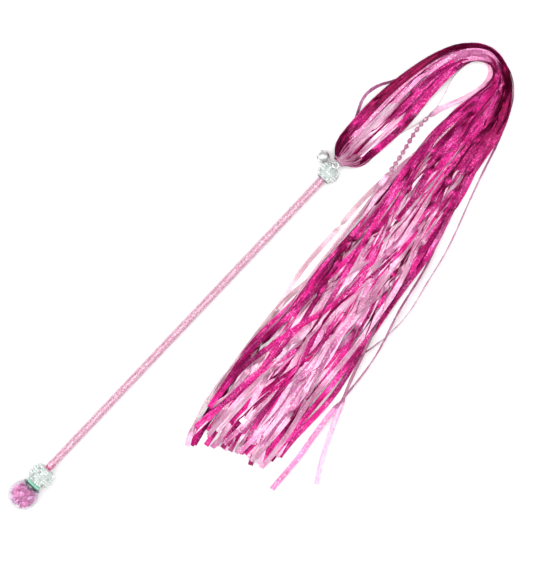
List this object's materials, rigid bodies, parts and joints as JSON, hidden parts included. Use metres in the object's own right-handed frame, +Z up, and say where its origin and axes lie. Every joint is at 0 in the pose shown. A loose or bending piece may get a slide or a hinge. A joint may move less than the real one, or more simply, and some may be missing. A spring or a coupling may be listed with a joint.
{
  "type": "rhythmic ribbon wand",
  "caption": "Toy ribbon wand: glitter-filled clear tube between a rhinestone ball with clear globe and a rhinestone tip bead, with jingle bell and foil streamer tassel.",
  "frame": {"origin": "on the tube's axis at the tube's lower end, where the stopper meets it", "axes": "+X up the wand from the globe to the tip, +Z up from the table that the wand lies on, +Y to the left of the tip"},
  "size_m": [0.5179, 0.1871, 0.024],
  "materials": {
    "clear_plastic": "clear polished plastic",
    "film_flakes": "crumpled iridescent pink film",
    "dark_metal": "polished gunmetal plating",
    "mint_crystal": "bevelled mint green crystal",
    "bead_clay": "white resin clay between the stones",
    "rhinestone": "foil-backed cut stones",
    "steel": "plain steel",
    "pink_plastic": "translucent pink plastic",
    "pink_glitter": "packed pale pink glitter",
    "silver_plate": "polished silver plating",
    "clear_band": "clear elastic band",
    "pink_foil": "metallised hot pink holographic film",
    "pale_film": "translucent pale pink iridescent film"
  },
  "bodies": {
    "wand": {"crystal_spacer": "mint_crystal", "glitter_fill": "pink_glitter", "globe_cap": "dark_metal", "globe_flakes": "film_flakes", "globe_shell": "clear_plastic", "handle_stud": "steel", "pave_ball_core": "bead_clay", "pave_ball_stones": "rhinestone", "swivel_bush": "silver_plate", "tip_bead_core": "bead_clay", "tip_bead_stones": "rhinestone", "tip_eyelet_far": "silver_plate", "tip_eyelet_near": "dark_metal", "tip_plug": "pink_plastic", "tube_shell": "clear_plastic", "tube_stopper": "pink_plastic"},
    "swivel": {"eye_pin": "silver_plate"},
    "link": {"link_ring": "silver_plate"},
    "bell_link": {"bell_ring": "silver_plate"},
    "bell": {"bell_upper_half": "silver_plate", "bell_lower_half": "silver_plate", "bell_loop": "silver_plate"},
    "pellet": {"bell_pellet": "steel"},
    "tassel": {"tassel_loop": "silver_plate", "tassel_collar": "clear_band", "tassel_head": "pink_foil", "streamer_01": "pink_foil", "streamer_02": "pale_film", "streamer_03": "pink_foil", "streamer_04": "pink_foil", "streamer_05": "pale_film", "streamer_06": "pink_foil", "streamer_07": "pink_foil", "streamer_08": "pale_film", "streamer_09": "pink_foil", "streamer_10": "pink_foil", "streamer_11": "pale_film", "streamer_12": "pink_foil", "streamer_13": "pale_film", "streamer_14": "pink_foil", "streamer_15": "pink_foil", "streamer_16": "pale_film", "streamer_17": "pink_foil", "streamer_18": "pale_film", "streamer_19": "pink_foil", "streamer_20": "pale_film", "streamer_21": "pink_foil", "streamer_22": "pale_film", "streamer_23": "pink_foil", "streamer_24": "pink_foil", "streamer_25": "pink_foil", "streamer_26": "pale_film", "streamer_27": "pink_foil", "streamer_inner_loop": "pale_film", "streamer_lower_stray": "pale_film", "streamer_outer_sweep": "pink_foil", "streamer_pale_stray": "pale_film", "streamer_twisted_edge": "pink_foil", "streamer_upper_loop": "pink_foil"}
  },
  "joints": [
    {"name": "tip_swivel", "type": "hinge", "parent": "wand", "child": "swivel", "pos_m": [0.3125, 0, 0], "axis": [1, 0, 0], "continuous": true},
    {"name": "link_sway", "type": "hinge", "parent": "swivel", "child": "link", "pos_m": [0.3205, 0, 0], "axis": [0, 0, 1], "range_deg": [-10, 0]},
    {"name": "tassel_swing", "type": "hinge", "parent": "link", "child": "tassel", "pos_m": [0.32385, 0, 0], "axis": [0, 1, 0], "range_deg": [-40, 40]},
    {"name": "bell_ring_swing", "type": "hinge", "parent": "link", "child": "bell_link", "pos_m": [0.32138, 0.00218, 0], "axis": [0.9925, 0.1219, 0], "range_deg": [-2, 40]},
    {"name": "bell_swing", "type": "hinge", "parent": "bell_link", "child": "bell", "pos_m": [0.3209, 0.00613, -0.00149], "axis": [0.0428, -0.3486, -0.9363], "range_deg": [0, 20]},
    {"name": "pellet_rattle", "type": "slide", "parent": "bell", "child": "pellet", "axis": [0, 0, 1], "range_m": [0, 0.0055]}
  ]
}
